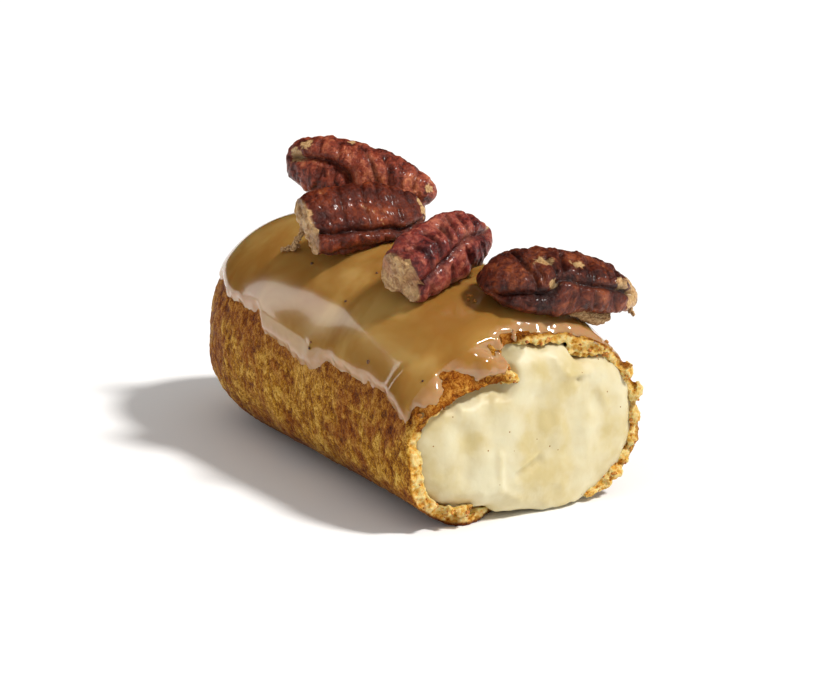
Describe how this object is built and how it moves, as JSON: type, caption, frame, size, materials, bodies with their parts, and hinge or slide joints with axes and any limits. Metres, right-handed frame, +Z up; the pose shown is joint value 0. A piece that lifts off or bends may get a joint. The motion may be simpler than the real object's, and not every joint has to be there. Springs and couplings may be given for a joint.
{
  "type": "pecan eclair, cut half",
  "caption": "Cut half of a choux eclair filled with vanilla pastry cream, glazed with caramel-coloured icing and topped with pecan halves.",
  "frame": {"origin": "middle of the flat underside, halfway along and across the pastry", "axes": "+Z up from the surface it rests on, +Y along the eclair from the cut end to the round end, +X to its right seen from the cut end"},
  "size_m": [0.0475, 0.0897, 0.0505],
  "materials": {
    "crust": "golden-brown baked choux, rough and porous",
    "cream": "soft satin pastry cream",
    "icing": "glossy poured caramel icing",
    "pecan": "dry wrinkled pecan skin with a slight sheen"
  },
  "bodies": {
    "root": {"choux_case": "crust", "cream_filling": "cream", "caramel_icing": "icing", "pecan_front": "pecan", "pecan_middle": "pecan", "pecan_left": "pecan", "pecan_back": "pecan"}
  },
  "joints": []
}
